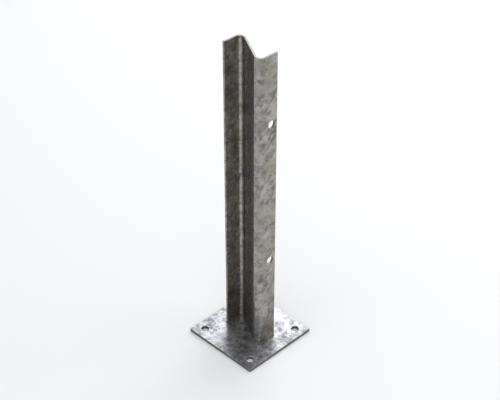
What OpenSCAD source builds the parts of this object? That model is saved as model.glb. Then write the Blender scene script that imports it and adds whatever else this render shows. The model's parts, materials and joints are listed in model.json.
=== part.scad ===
// Surface-mounted safety-barrier post: a cold-formed steel Z section standing
// on a square base plate, fillet welded all round and hot-dip galvanised.
// Millimetres. The origin is the centre of the plate's underside, +Z is up,
// and the flange that carries the rail faces -Y.

/* [Base plate] */
// Side of the square plate
plate_side = 200; // [160:1:300]
// Thickness of the plate
plate_t = 8; // [5:0.5:25]
// Radius of the plate's corners in plan
plate_corner_r = 1.5; // [0.5:0.5:12]
// Diameter of the four anchor holes
anchor_hole_d = 18; // [10:1:26]
// Distance from the plate's edges to the anchor holes
anchor_edge = 25; // [20:1:35]

/* [Post] */
// Height of the post above the plate
post_h = 750; // [600:10:1200]
// Depth of the Z section over the outer faces of its flanges
section_depth = 112; // [92:1:136]
// Width of a flange, from its free edge to the outside of its bend
flange_w = 49; // [40:1:60]
// Thickness of the sheet
sheet_t = 5; // [3:0.5:7]
// Inner radius of the two bends
bend_r = 9; // [6:0.5:12]
// Lean of the web, in degrees away from square with the flanges
web_lean = 31; // [24:1:38]

/* [Rail holes] */
// Diameter of the two rail bolt holes
rail_hole_d = 18; // [10:1:24]
// Distance from the top of the post to the upper rail hole
rail_hole_drop = 163; // [30:1:200]
// Distance between the two rail holes
rail_hole_pitch = 355; // [60:1:380]
// Distance from the flange's free edge to the rail holes
rail_hole_edge = 16; // [13:0.5:20]

/* [Welds] */
// Leg length of the fillet welds round the post's foot
weld_leg = 3; // [2:0.5:6]

/* [Hidden] */
$fn = 96;

// How far a cutting tool runs past the surface that it cuts
cut = 1;
anchor_pitch = plate_side - 2 * anchor_edge;

// The Z section looks the same after half a turn about the post's axis. The
// back bend's centre is (bend_x, bend_y): bend_y puts the flange's outer face
// at half the depth, and bend_x puts the web's middle line through the axis.
outer_r = bend_r + sheet_t;
middle_r = bend_r + sheet_t / 2;
bend_y = section_depth / 2 - outer_r;
bend_x = (bend_y * sin(web_lean) - middle_r) / cos(web_lean);
bend_turn = 90 + web_lean;
// From a bend's centre to its flange's free edge, along X
flange_flat = flange_w - outer_r;
flange_tip = flange_flat - bend_x;
// From the post's axis to the end of the web's flat, along the web
web_half = bend_x * sin(web_lean) + bend_y * cos(web_lean);

rail_hole_x = flange_tip - rail_hole_edge;
upper_hole_z = plate_t + post_h - rail_hole_drop;

// Straight steps that each bend is drawn in
bend_steps = 24;
bend_step = bend_turn / bend_steps;

function on_circle(centre, r, angle) = centre + r * [cos(angle), sin(angle)];

// The outer surface of the back bend, clockwise from the flange to the web
outer_bend = [for (i = [0:bend_steps])
    on_circle([bend_x, bend_y], outer_r, 90 - i * bend_step)];
// The inner surface of the front bend, from the web to the flange. Its steps
// touch the bend's circle at their middles, so nothing reaches inside it.
inner_bend = [for (i = [0.5:bend_steps])
    on_circle([-bend_x, -bend_y], bend_r / cos(bend_step / 2), 180 - web_lean + i * bend_step)];
half_section = concat([[-flange_tip, section_depth / 2]], outer_bend, inner_bend,
                      [[flange_tip, sheet_t - section_depth / 2]]);

weld_section = [[0, 0], [weld_leg, 0], [0, weld_leg]];

// The plate's outline, with its four corners rounded
module plate_outline() {
    corner = plate_side / 2 - plate_corner_r;
    square([plate_side, 2 * corner], center = true);
    square([2 * corner, plate_side], center = true);
    for (x = [-corner, corner], y = [-corner, corner])
        translate([x, y]) circle(r = plate_corner_r);
}

module base_plate() {
    color("gainsboro")
    difference() {
        linear_extrude(height = plate_t) plate_outline();
        for (x = [-1, 1], y = [-1, 1])
            translate([x * anchor_pitch / 2, y * anchor_pitch / 2, -cut])
                cylinder(d = anchor_hole_d, h = plate_t + 2 * cut);
    }
}

// The Z-shaped sheet. The second half of its outline is the first, turned
module z_sheet() {
    linear_extrude(height = post_h)
        polygon(concat(half_section, [for (p = half_section) -p]));
}

// One hole through the front flange, centred on the flange's outer face
module rail_hole() {
    rotate([-90, 0, 0])
        translate([0, 0, -cut])
            cylinder(d = rail_hole_d, h = sheet_t + 2 * cut);
}

module post() {
    color("darkgray")
    difference() {
        translate([0, 0, plate_t]) z_sheet();
        for (z = [upper_hole_z, upper_hole_z - rail_hole_pitch])
            translate([rail_hole_x, -section_depth / 2, z]) rail_hole();
    }
}

// A fillet weld along +X, with one leg up a wall and the other towards +Y
module straight_weld(length) {
    rotate([90, 0, 90]) linear_extrude(height = length) polygon(weld_section);
}

// A fillet weld round a wall of radius r, from +Y and on by turn. side is 1
// on the outside of the curve and -1 on the inside.
module curved_weld(r, side, turn) {
    rotate([0, 0, 90])
        rotate_extrude(angle = turn)
            polygon([for (p = weld_section) [r + side * p[0], p[1]]]);
}

// Round the outside of the back bend, along the flange's outer face and
// across its free edge. Drawn about the bend's centre, on the plate.
module flange_outer_weld() {
    color("silver")
    translate([bend_x, bend_y, plate_t]) {
        curved_weld(outer_r, 1, -bend_turn);
        translate([-flange_flat, outer_r, 0]) {
            straight_weld(flange_flat);
            curved_weld(0, 1, 90);
        }
        translate([-flange_flat, bend_r, 0])
            rotate([0, 0, 90]) {
                straight_weld(sheet_t);
                curved_weld(0, 1, 90);
            }
    }
}

// Round the inside of the back bend and along the flange's inner face
module flange_inner_weld() {
    color("silver")
    translate([bend_x, bend_y, plate_t]) {
        curved_weld(bend_r, -1, -bend_turn);
        translate([0, bend_r, 0])
            rotate([0, 0, 180]) straight_weld(flange_flat);
    }
}

// Along the web's left face, from the end of one bend to the start of the other
module web_weld() {
    color("silver")
    translate([0, 0, plate_t])
        rotate([0, 0, -web_lean])
            translate([-sheet_t / 2, -web_half, 0])
                rotate([0, 0, 90]) straight_weld(2 * web_half);
}

base_plate();
post();
flange_outer_weld();  // weld_back_outer
flange_inner_weld();  // weld_back_inner
web_weld();  // weld_web_left
rotate([0, 0, 180]) web_weld();  // weld_web_right
rotate([0, 0, 180]) flange_inner_weld();  // weld_front_inner
rotate([0, 0, 180]) flange_outer_weld();  // weld_front_outer
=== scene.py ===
import json
import math

import bmesh
import bpy
from mathutils import Matrix, Vector, noise


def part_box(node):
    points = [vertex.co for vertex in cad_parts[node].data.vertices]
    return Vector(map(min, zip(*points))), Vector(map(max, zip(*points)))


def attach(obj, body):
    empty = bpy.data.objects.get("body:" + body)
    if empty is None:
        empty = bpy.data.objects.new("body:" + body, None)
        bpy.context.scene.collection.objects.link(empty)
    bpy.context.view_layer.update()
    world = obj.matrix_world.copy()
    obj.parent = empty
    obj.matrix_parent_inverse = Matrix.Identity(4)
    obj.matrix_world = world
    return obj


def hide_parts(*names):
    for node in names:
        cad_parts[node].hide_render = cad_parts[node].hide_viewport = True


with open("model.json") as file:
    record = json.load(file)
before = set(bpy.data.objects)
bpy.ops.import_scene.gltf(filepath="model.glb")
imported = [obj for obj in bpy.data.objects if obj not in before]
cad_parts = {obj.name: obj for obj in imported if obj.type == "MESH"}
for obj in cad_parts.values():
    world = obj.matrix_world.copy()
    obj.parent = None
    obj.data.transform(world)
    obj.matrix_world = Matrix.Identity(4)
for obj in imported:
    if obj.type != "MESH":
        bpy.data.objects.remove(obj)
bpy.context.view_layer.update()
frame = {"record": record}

# The camera. It looks down on the post's left front corner at the isometric angle, through a
# lens of about 87 mm, and its axis meets the post's own axis at about half its height.
sight_point = Vector((0.0, 0.0, 0.3803))
camera_distance = 2.640
camera_azimuth = math.radians(-45.0)
camera_elevation = math.atan(1 / math.sqrt(2))
lens_length_mm = 86.9
furthest_seen = 100.0

camera = bpy.data.objects.new("camera", bpy.data.cameras.new("camera"))
camera.data.lens = lens_length_mm
camera.data.clip_end = furthest_seen
towards_camera = Vector((
    math.sin(camera_azimuth) * math.cos(camera_elevation),
    -math.cos(camera_azimuth) * math.cos(camera_elevation),
    math.sin(camera_elevation),
))
camera.location = sight_point + camera_distance * towards_camera
camera.rotation_euler = (math.pi / 2 - camera_elevation, 0.0, camera_azimuth)
bpy.context.scene.collection.objects.link(camera)
bpy.context.scene.camera = camera
bpy.context.scene.view_settings.view_transform = "Standard"


# The floor: a plain pale studio floor, wide enough to fill the view from every side. The base
# plate stands on it.
floor_side = 30.0
floor_colour = (0.90, 0.90, 0.905, 1.0)
floor_roughness = 0.7

bm = bmesh.new()
bmesh.ops.create_grid(bm, x_segments=1, y_segments=1, size=floor_side / 2)
floor = bpy.data.objects.new("floor", bpy.data.meshes.new("floor"))
bm.to_mesh(floor.data)
bm.free()
bpy.context.scene.collection.objects.link(floor)
floor_paint = bpy.data.materials.new("floor_paint")
floor_paint.use_nodes = True
floor_shader = floor_paint.node_tree.nodes["Principled BSDF"]
floor_shader.inputs["Base Color"].default_value = floor_colour
floor_shader.inputs["Roughness"].default_value = floor_roughness
floor.data.materials.append(floor_paint)


# The studio light: a pale sky all round, four large soft boxes and a broad soft light overhead.
# The plate's top mirrors the back box towards the camera and the front box the other way, the left
# box fills the channel beside the web, and the foot mirrors the right box by way of the plate.
sky_colour = (0.95, 0.97, 1.0, 1.0)
sky_strength = 0.50
overhead_strength = 0.88
overhead_spread = math.radians(60.0)
overhead_aim = Vector((0.4, 0.4, -3.4))

world = bpy.data.worlds.new("studio")
world.use_nodes = True
sky = world.node_tree.nodes["Background"]
sky.inputs["Color"].default_value = sky_colour
sky.inputs["Strength"].default_value = sky_strength
bpy.context.scene.world = world


def hang_lamp(name, light, aim):
    """Puts a light in the studio, turned to shine along aim."""
    lamp = bpy.data.objects.new(name, light)
    lamp.rotation_euler = aim.to_track_quat("-Z", "Y").to_euler()
    bpy.context.scene.collection.objects.link(lamp)
    return lamp


def soft_box(name, place, aim, size, power, colour=(1.0, 1.0, 1.0)):
    """A rectangular area light at place, turned to face the point aim."""
    light = bpy.data.lights.new(name, "AREA")
    light.shape = "RECTANGLE"
    light.size, light.size_y = size
    light.energy = power
    light.color = colour
    hang_lamp(name, light, Vector(aim) - Vector(place)).location = place


soft_box("back_box", place=(2.9, 1.1, 2.2), aim=(0.0, 0.0, 0.1), size=(3.4, 2.4), power=56.0)
soft_box("left_box", place=(-3.0, 0.6, 1.1), aim=(0.0, 0.0, 0.4), size=(2.4, 1.4), power=9.0,
         colour=(0.86, 0.93, 1.0))
soft_box("right_box", place=(2.1, -2.1, 2.3), aim=(0.0, 0.0, 0.0), size=(2.4, 1.8), power=10.0,
         colour=(1.0, 0.92, 0.80))
soft_box("front_box", place=(-3.0, -3.0, 1.9), aim=(0.0, 0.0, 0.2), size=(3.0, 2.0), power=24.0)

overhead = bpy.data.lights.new("overhead", "SUN")
overhead.energy = overhead_strength
overhead.angle = overhead_spread
hang_lamp("overhead", overhead, overhead_aim)


# The base plate: a square of steel plate, cut to size, drilled for four anchor bolts and dipped
# in molten zinc. The zinc rounds its edges and hole rims a little and dries in bright clouds.
plate_low, plate_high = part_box("base_plate")
plate_side = plate_high.x - plate_low.x
plate_thickness = plate_high.z - plate_low.z
mounts = {mount["name"]: mount for mount in frame["record"]["mounts"]}
anchors = mounts["anchor_holes"]["dims"]
anchor_reach = anchors["spacing_x_mm"] / 2000
anchor_radius = anchors["hole_r_mm"] / 1000
corner_radius = 0.0015
zinc_edge_radius = 0.0007
hole_facets = 48
tolerance = 1e-6


def cut_across(bm, parts, place, normal):
    """Cuts the faces among parts along a plane, and leaves both sides in place."""
    bmesh.ops.bisect_plane(bm, geom=parts, plane_co=place, plane_no=normal)


def open_hole(bm, centre, radius):
    """Cuts a round hole in a flat sheet, in the square face that has its middle at centre."""
    def middle_face():
        return min(bm.faces, key=lambda face: (face.calc_center_bounds() - centre).length)

    bmesh.ops.subdivide_edges(bm, edges=list(middle_face().edges), cuts=hole_facets // 4 - 1)
    cell = middle_face()
    bmesh.ops.inset_individual(bm, faces=[cell], thickness=0.1 * radius)
    for vert in cell.verts:
        vert.co = centre + radius * (vert.co - centre).normalized()
    bmesh.ops.delete(bm, geom=[cell], context="FACES_ONLY")


def make_piece(name, bm, material, nodes):
    """Makes a bmesh a smooth-shaded piece that stands for the named CAD nodes."""
    for face in bm.faces:
        face.smooth = True
    mesh = bpy.data.meshes.new(name)
    bm.to_mesh(mesh)
    bm.free()
    mesh.materials.append(material)
    piece = bpy.data.objects.new(name, mesh)
    bpy.context.scene.collection.objects.link(piece)
    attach(piece, "root")
    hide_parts(*nodes)
    return piece


def round_edges(piece, radius):
    """Rounds a piece's sharp edges and keeps its flats flat in the shading."""
    rounding = piece.modifiers.new("rounding", "BEVEL")
    rounding.width = radius
    rounding.segments = 3
    rounding.limit_method = "ANGLE"
    rounding.angle_limit = math.radians(50.0)
    piece.modifiers.new("flats", "WEIGHTED_NORMAL")


def feed(tree, socket, value):
    """Links the socket to value where that is a socket too, and otherwise sets it."""
    if isinstance(value, bpy.types.NodeSocket):
        tree.links.new(value, socket)
    else:
        socket.default_value = value


def add_node(tree, kind, **values):
    """Adds a shader node. Each value is for the input of that name, with _ for a space."""
    node = tree.nodes.new(kind)
    for name, value in values.items():
        feed(tree, node.inputs[name.replace("_", " ")], value)
    return node


def add_math(tree, operation, *values):
    """One step of arithmetic on sockets or plain numbers."""
    step = tree.nodes.new("ShaderNodeMath")
    step.operation = operation
    for socket, value in zip(step.inputs, values):
        feed(tree, socket, value)
    return step.outputs["Value"]


def add_mix(tree, factor, first, second):
    """Mixes two colours, each a socket or a colour value, by a factor socket."""
    mix = add_node(tree, "ShaderNodeMix", Factor=factor)
    mix.data_type = "RGBA"
    feed(tree, mix.inputs[6], first)
    feed(tree, mix.inputs[7], second)
    return mix.outputs[2]


def add_ramp(tree, source, low, high):
    """A mask that rises smoothly from 0 where source is low to 1 where it is high."""
    ramp = add_node(tree, "ShaderNodeMapRange", Value=source, From_Min=low, From_Max=high)
    ramp.interpolation_type = "SMOOTHSTEP"
    return ramp.outputs["Result"]


def add_group(tree, group):
    """Places a node group in a material."""
    node = tree.nodes.new("ShaderNodeGroup")
    node.node_tree = group
    return node


def build_zinc_bloom():
    """Hot-dip zinc: clouds over frozen crystals, slanting smears where it ran, stains and grain."""
    smear_slant = math.radians(-42.0)
    smear_size = (0.026, 0.010, 0.009)
    crystal_raggedness = (0.012, 0.012, 0.012)
    cloud_weight = 2.6
    fleck_weight = 2.0
    crystal_weight = 0.34
    crystal_grain_weight = 0.5

    group = bpy.data.node_groups.new("zinc_bloom", "ShaderNodeTree")
    for name in ("Dull", "Bright", "Brown", "Green"):
        group.interface.new_socket(name, in_out="INPUT", socket_type="NodeSocketColor")
    for name in ("Cloud Scale", "Smear", "Stain", "Gloss", "Matt"):
        group.interface.new_socket(name, in_out="INPUT", socket_type="NodeSocketFloat")
    group.interface.new_socket("Color", in_out="OUTPUT", socket_type="NodeSocketColor")
    for name in ("Roughness", "Height"):
        group.interface.new_socket(name, in_out="OUTPUT", socket_type="NodeSocketFloat")
    given = group.nodes.new("NodeGroupInput").outputs
    made = group.nodes.new("NodeGroupOutput").inputs
    place = group.nodes.new("ShaderNodeTexCoord").outputs["Object"]

    clouds = add_node(group, "ShaderNodeTexNoise", Vector=place, Scale=given["Cloud Scale"],
                      Detail=6.0, Roughness=0.6, Distortion=0.35)
    flecks = add_node(group, "ShaderNodeTexNoise", Vector=place, Scale=105.0, Detail=4.0,
                      Distortion=0.5)
    slant = add_node(group, "ShaderNodeMapping", Vector=place, Rotation=(0.0, smear_slant, 0.0),
                     Scale=smear_size)
    slant.vector_type = "TEXTURE"
    smears = add_node(group, "ShaderNodeTexNoise", Vector=slant.outputs["Vector"], Scale=1.0,
                      Detail=4.0, Distortion=0.3)
    ragged = add_node(group, "ShaderNodeTexNoise", Vector=place, Scale=110.0, Detail=3.0)
    wobble = group.nodes.new("ShaderNodeVectorMath")
    wobble.operation = "MULTIPLY_ADD"
    for socket, value in zip(wobble.inputs, (ragged.outputs["Color"], crystal_raggedness, place)):
        feed(group, socket, value)
    crystals = add_node(group, "ShaderNodeTexVoronoi", Vector=wobble.outputs["Vector"], Scale=75.0,
                        Randomness=1.0)
    crystal = add_node(group, "ShaderNodeSeparateColor", Color=crystals.outputs["Color"])
    grain = add_node(group, "ShaderNodeTexNoise", Vector=place, Scale=260.0, Detail=6.0,
                     Roughness=0.65)
    stains = add_node(group, "ShaderNodeTexNoise", Vector=place, Scale=26.0, Detail=3.0,
                      Distortion=0.4)

    frost = add_math(group, "MULTIPLY_ADD", grain.outputs["Fac"], crystal_grain_weight,
                     crystal.outputs["Red"])
    smear = add_math(group, "SUBTRACT", smears.outputs["Fac"], 0.5)
    strokes = add_math(group, "MULTIPLY_ADD", smear, given["Smear"], grain.outputs["Fac"])
    frosted = add_math(group, "MULTIPLY_ADD", frost, crystal_weight, strokes)
    mottle = add_math(group, "MULTIPLY_ADD", flecks.outputs["Fac"], fleck_weight, frosted)
    pattern = add_math(group, "MULTIPLY_ADD", clouds.outputs["Fac"], cloud_weight, mottle)
    bloom = add_ramp(group, pattern, low=2.25, high=3.65)

    zinc = add_mix(group, bloom, given["Dull"], given["Bright"])
    greenness = add_ramp(group, stains.outputs["Color"], low=0.42, high=0.66)
    stain = add_mix(group, greenness, given["Brown"], given["Green"])
    spread = add_ramp(group, stains.outputs["Fac"], low=0.40, high=0.70)
    stained = add_math(group, "MULTIPLY", spread, given["Stain"])
    sheen = add_node(group, "ShaderNodeMapRange", Value=bloom, To_Min=given["Matt"],
                     To_Max=given["Gloss"])
    feed(group, made["Color"], add_mix(group, stained, zinc, stain))
    feed(group, made["Roughness"], sheen.outputs["Result"])
    feed(group, made["Height"], pattern)
    return group


def build_level_face():
    """A mask that is 1 on faces that lie level and 0 on upright ones."""
    group = bpy.data.node_groups.new("level_face", "ShaderNodeTree")
    group.interface.new_socket("Mask", in_out="OUTPUT", socket_type="NodeSocketFloat")
    made = group.nodes.new("NodeGroupOutput").inputs
    normal = group.nodes.new("ShaderNodeTexCoord").outputs["Normal"]
    parts = add_node(group, "ShaderNodeSeparateXYZ", Vector=normal)
    upwards = add_math(group, "ABSOLUTE", parts.outputs["Z"])
    feed(group, made["Mask"], add_ramp(group, upwards, low=0.35, high=0.9))
    return group


zinc_bloom = build_zinc_bloom()
level_face = build_level_face()


def zinc_material(name, relief, face_zinc=None, upright_painted_shade=None, edge_tint=None, **bloom_values):
    """A metal with the zinc bloom on it. relief is how deep its bump reaches, in metres.

    face_zinc, if given, is the colour of its level faces, and upright_painted_shade that of its
    upright ones: painted shade laid over side faces and hole walls.
    edge_tint, if given, dims what the metal mirrors where it is seen nearly edge on.
    """
    material = bpy.data.materials.new(name)
    material.use_nodes = True
    tree = material.node_tree
    shader = tree.nodes["Principled BSDF"]
    shader.inputs["Metallic"].default_value = 1.0
    if edge_tint:
        shader.inputs["Specular Tint"].default_value = edge_tint
    bloom = add_group(tree, zinc_bloom)
    for socket, value in bloom_values.items():
        bloom.inputs[socket.replace("_", " ")].default_value = value
    colour = bloom.outputs["Color"]
    if face_zinc or upright_painted_shade:
        level = add_group(tree, level_face)
        colour = add_mix(tree, level.outputs["Mask"], upright_painted_shade or colour, face_zinc or colour)
    bump = add_node(tree, "ShaderNodeBump", Strength=1.0, Distance=relief,
                    Height=bloom.outputs["Height"])
    feed(tree, shader.inputs["Base Color"], colour)
    feed(tree, shader.inputs["Roughness"], bloom.outputs["Roughness"])
    feed(tree, shader.inputs["Normal"], bump.outputs["Normal"])
    return material


# The plate's upright faces, its sides and the walls of its anchor holes, take a plain dark grey in
# place of the zinc bloom: painted shade.
plate_zinc = zinc_material(
    "plate_zinc", 0.00008, upright_painted_shade=(0.15, 0.15, 0.152, 1), Dull=(0.155, 0.158, 0.185, 1),
    Bright=(0.70, 0.705, 0.73, 1), Brown=(0.32, 0.32, 0.33, 1), Green=(0.28, 0.295, 0.35, 1),
    Cloud_Scale=20.0, Smear=1.0, Stain=0.45, Gloss=0.35, Matt=0.46)

bm = bmesh.new()
bmesh.ops.create_grid(bm, x_segments=1, y_segments=1, size=plate_side / 2,
                      matrix=Matrix.Translation((0.0, 0.0, plate_high.z)))
cell_reach = 1.4 * anchor_radius
for axis in (Vector((1, 0, 0)), Vector((0, 1, 0))):
    for offset in (-anchor_reach, anchor_reach):
        for side in (-cell_reach, cell_reach):
            cut_across(bm, bm.verts[:] + bm.edges[:] + bm.faces[:], (offset + side) * axis, axis)
for x in (-anchor_reach, anchor_reach):
    for y in (-anchor_reach, anchor_reach):
        open_hole(bm, Vector((x, y, plate_high.z)), anchor_radius)
bmesh.ops.recalc_face_normals(bm, faces=bm.faces[:])
if bm.faces[0].normal.z < 0:
    bmesh.ops.reverse_faces(bm, faces=bm.faces[:])
under = bmesh.ops.extrude_face_region(bm, geom=bm.faces[:], use_keep_orig=True)["geom"]
bmesh.ops.translate(bm, vec=(0, 0, -plate_thickness),
                    verts=[part for part in under if isinstance(part, bmesh.types.BMVert)])
bmesh.ops.recalc_face_normals(bm, faces=bm.faces[:])
uprights = [edge for edge in bm.edges
            if abs(edge.verts[0].co.z - edge.verts[1].co.z) > plate_thickness / 2
            and all(abs(abs(v) - plate_side / 2) < tolerance for v in edge.verts[0].co[:2])]
bmesh.ops.bevel(bm, geom=uprights, offset=corner_radius, segments=5, profile=0.5,
                affect="EDGES", material=-1)
base_plate = make_piece("steel_plate", bm, plate_zinc, ["base_plate"])
round_edges(base_plate, zinc_edge_radius)


# The post: one strip of 5 mm sheet, bent twice on a press brake into a Z, with two holes for the
# rail's bolts punched in its front flange. Its cut edges are left square but for the zinc.
post_low, post_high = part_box("post")
rail = mounts["rail_holes"]
rail_centre = Vector(rail["pos_m"])
rail_radius = rail["dims"]["hole_r_mm"] / 1000
rail_pitch = rail["dims"]["spacing_y_mm"] / 1000
sheet_thickness = 0.005
bend_radius = 0.009
flange_width = 0.049
web_lean = math.radians(31.0)
bend_steps = 32

middle_radius = bend_radius + sheet_thickness / 2
outer_radius = bend_radius + sheet_thickness
bend_y = post_high.y - outer_radius
bend_x = (bend_y * math.sin(web_lean) - middle_radius) / math.cos(web_lean)
back_bend = Vector((bend_x, bend_y, post_low.z))
front_bend = Vector((-bend_x, -bend_y, post_low.z))
web_normal = Vector((math.cos(web_lean), -math.sin(web_lean), 0.0))
flange_line = post_high.y - sheet_thickness / 2
flange_tip = flange_width - outer_radius - bend_x
bend_turn = math.pi / 2 + web_lean

sheet_zinc = zinc_material(
    "sheet_zinc", 0.00006, face_zinc=(0.30, 0.30, 0.30, 1), edge_tint=(0.72, 0.72, 0.74, 1),
    Dull=(0.153, 0.149, 0.143, 1), Bright=(0.408, 0.392, 0.368, 1),
    Brown=(0.330, 0.287, 0.230, 1), Green=(0.240, 0.248, 0.219, 1),
    Cloud_Scale=40.0, Smear=1.9, Stain=0.8, Gloss=0.25, Matt=0.35)


def run_on(bm, vert, place):
    """Draws a straight edge from vert to place, and gives its far end."""
    far_end = bmesh.ops.extrude_vert_indiv(bm, verts=[vert])["verts"][0]
    far_end.co = place
    return far_end


def bend_on(bm, vert, centre, angle):
    """Draws an arc from vert about an upright axis through centre, and gives its far end."""
    arc = bmesh.ops.spin(bm, geom=[vert], cent=centre, axis=(0, 0, 1), angle=angle,
                         steps=bend_steps, use_duplicate=False)
    return arc["geom_last"][0]


bm = bmesh.new()
line = bm.verts.new((-flange_tip, flange_line, post_low.z))
line = run_on(bm, line, (bend_x, flange_line, post_low.z))
line = bend_on(bm, line, back_bend, -bend_turn)
line = run_on(bm, line, front_bend - middle_radius * web_normal)
line = bend_on(bm, line, front_bend, bend_turn)
run_on(bm, line, (flange_tip, -flange_line, post_low.z))
wall = bmesh.ops.extrude_edge_only(bm, edges=bm.edges[:])["geom"]
bmesh.ops.translate(bm, vec=(0, 0, post_high.z - post_low.z),
                    verts=[part for part in wall if isinstance(part, bmesh.types.BMVert)])
cell_reach = 1.35 * rail_radius
hole_heights = [rail_centre.z - rail_pitch / 2, rail_centre.z + rail_pitch / 2]
for height in hole_heights:
    for side in (-cell_reach, cell_reach):
        cut_across(bm, bm.verts[:] + bm.edges[:] + bm.faces[:], (0, 0, height + side), (0, 0, 1))
for side in (-cell_reach, cell_reach):
    flange = [face for face in bm.faces
              if all(abs(vert.co.y + flange_line) < tolerance for vert in face.verts)]
    around = dict.fromkeys(part for face in flange for part in (face, *face.edges, *face.verts))
    cut_across(bm, list(around), (rail_centre.x + side, 0, 0), (1, 0, 0))
for height in hole_heights:
    open_hole(bm, Vector((rail_centre.x, -flange_line, height)), rail_radius)
bmesh.ops.recalc_face_normals(bm, faces=bm.faces[:])
z_post = make_piece("z_post", bm, sheet_zinc, ["post"])
walls = z_post.modifiers.new("sheet", "SOLIDIFY")
walls.thickness = sheet_thickness
walls.offset = 0.0
walls.use_even_offset = True
round_edges(z_post, zinc_edge_radius)


# The welds: fillet runs laid in the corner between the plate and both sides of the sheet, all
# round the post's foot. Each has the fine ripples of its weld pool, under the same zinc bloom,
# painted much darker as shade in that corner so the beads catch no highlight.
weld_leg = 0.003
weld_crown = 0.0002
weld_root = 0.0004
ripple_pitch = 0.0016
ripple_height = 0.00012
ripple_lag = 0.0012
leg_wander = 0.08
wanders_per_metre = 90
end_taper = 0.006
end_thinning = 0.5
bead_step = 0.0004
bead_sides = 8

# The welds' zinc is painted far darker than the sheet's: painted shade at the post's foot, which
# also keeps the beads from catching a highlight.
weld_painted_shade_zinc = zinc_material(
    "weld_painted_shade_zinc", 0.00006, Dull=(0.10, 0.10, 0.098, 1), Bright=(0.19, 0.186, 0.182, 1),
    Brown=(0.15, 0.13, 0.11, 1), Green=(0.13, 0.134, 0.125, 1),
    Cloud_Scale=60.0, Smear=1.0, Stain=0.4, Gloss=0.42, Matt=0.55)


def straight_stretch(start, end, away):
    """Points on the wall's foot from start to end, each with the direction away from the wall."""
    steps = math.ceil((end - start).length / bead_step)
    return [(start.lerp(end, i / steps), away) for i in range(steps + 1)]


def round_stretch(centre, radius, side, first, last):
    """The same round a bend or a corner. side is 1 outside the curve and -1 inside it."""
    steps = math.ceil((radius + side * weld_leg / 2) * (last - first) / bead_step)
    stretch = []
    for i in range(steps + 1):
        angle = first + (last - first) * i / steps
        outwards = Vector((math.cos(angle), math.sin(angle), 0.0))
        stretch.append((centre + radius * outwards, side * outwards))
    return stretch


def bead_ring(point, away, travel):
    """The bead's outline at one place on its run: its root, over its crown, and its root again.

    The bead thins out towards a flange's free edge, where the welder turns round the corner.
    """
    up = Vector((0.0, 0.0, 1.0))
    to_free_edge = flange_tip + math.copysign(1.0, point.y) * point.x
    thinning = end_thinning * max(0.0, 1 - to_free_edge / end_taper)
    wander = leg_wander * noise.noise(wanders_per_metre * point)
    leg = weld_leg * (1 - thinning) * (1 + wander)
    root = point - weld_root * (away + up)
    ring = [root]
    for i in range(bead_sides + 1):
        share = i / bead_sides
        bulge = math.sin(math.pi * share)
        ripple = math.cos(2 * math.pi * (travel + ripple_lag * bulge) / ripple_pitch)
        swell = bulge * (weld_crown + ripple_height * ripple)
        ring.append(point + (leg * (1 - share) + swell) * away + (leg * share + swell) * up)
    return [*ring, root]


def lay_bead(name, node, turn, *stretches):
    """Lays one weld run, rolled up from a flat strip. turn swings it round the post's axis."""
    run = [(turn @ point, turn @ away) for stretch in stretches for point, away in stretch]
    bm = bmesh.new()
    columns = bead_sides + 3
    bmesh.ops.create_grid(bm, x_segments=columns - 1, y_segments=len(run) - 1, size=1.0)
    bm.verts.ensure_lookup_table()
    travel = 0.0
    for row, (point, away) in enumerate(run):
        middle = point + weld_leg / 2 * away
        if row:
            travel += (middle - middle_before).length
        middle_before = middle
        for column, place in enumerate(bead_ring(point, away, travel)):
            bm.verts[row * columns + column].co = place
    bmesh.ops.remove_doubles(bm, verts=bm.verts[:], dist=tolerance)
    bmesh.ops.holes_fill(bm, edges=[edge for edge in bm.edges if edge.is_boundary], sides=0)
    bmesh.ops.recalc_face_normals(bm, faces=bm.faces[:])
    make_piece(name, bm, weld_painted_shade_zinc, [node])


flange_out = back_bend + Vector((0, outer_radius, 0))
flange_in = back_bend + Vector((0, bend_radius, 0))
tip_out = Vector((-flange_tip, flange_out.y, post_low.z))
tip_in = Vector((-flange_tip, flange_in.y, post_low.z))
quarter = math.pi / 2
as_laid = Matrix.Identity(3)
half_round = Matrix.Rotation(math.pi, 3, "Z")
for half, turn in (("back", as_laid), ("front", half_round)):
    lay_bead(f"{half}_outer_bead", f"weld_{half}_outer", turn,
             round_stretch(back_bend, outer_radius, 1, -web_lean, quarter),
             straight_stretch(flange_out, tip_out, Vector((0, 1, 0))),
             round_stretch(tip_out, 0.0, 1, quarter, 2 * quarter),
             straight_stretch(tip_out, tip_in, Vector((-1, 0, 0))),
             round_stretch(tip_in, 0.0, 1, 2 * quarter, 3 * quarter))
    lay_bead(f"{half}_inner_bead", f"weld_{half}_inner", turn,
             round_stretch(back_bend, bend_radius, -1, -web_lean, quarter),
             straight_stretch(flange_in, tip_in, Vector((0, -1, 0))))
for side, turn in (("left", as_laid), ("right", half_round)):
    lay_bead(f"{side}_web_bead", f"weld_web_{side}", turn,
             straight_stretch(back_bend + bend_radius * web_normal,
                              front_bend - outer_radius * web_normal, -web_normal))
